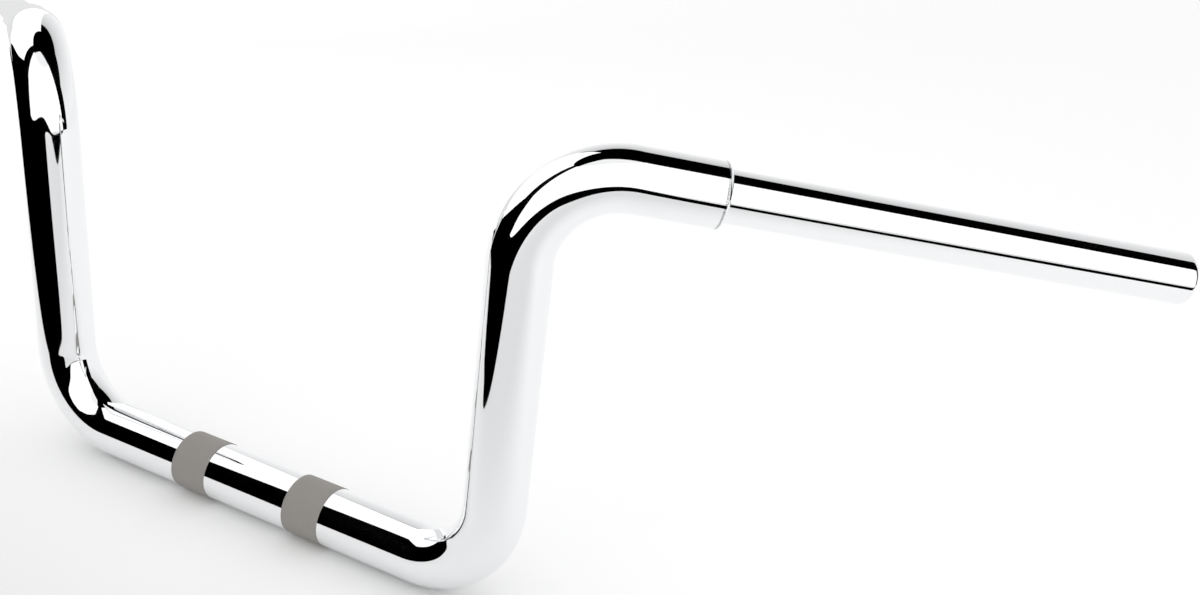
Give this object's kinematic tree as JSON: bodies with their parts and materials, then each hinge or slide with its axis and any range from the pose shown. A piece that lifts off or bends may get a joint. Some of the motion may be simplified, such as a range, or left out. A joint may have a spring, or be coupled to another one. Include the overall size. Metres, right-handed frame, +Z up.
{
  "type": "motorcycle handlebar",
  "caption": "Bent chrome motorcycle handlebar: a thick tube rises from a clamped middle run and turns back into thinner grip tubes.",
  "frame": {"origin": "on the tube's axis, midway between the two clamp bands", "axes": "+X to the rider's right along the clamped run, +Y forward, +Z up"},
  "size_m": [0.8556, 0.2067, 0.2484],
  "materials": {
    "chromed_steel": "polished chrome plate"
  },
  "bodies": {
    "root": {"main_tube": "chromed_steel", "left_grip_tube": "chromed_steel", "right_grip_tube": "chromed_steel"}
  },
  "joints": []
}
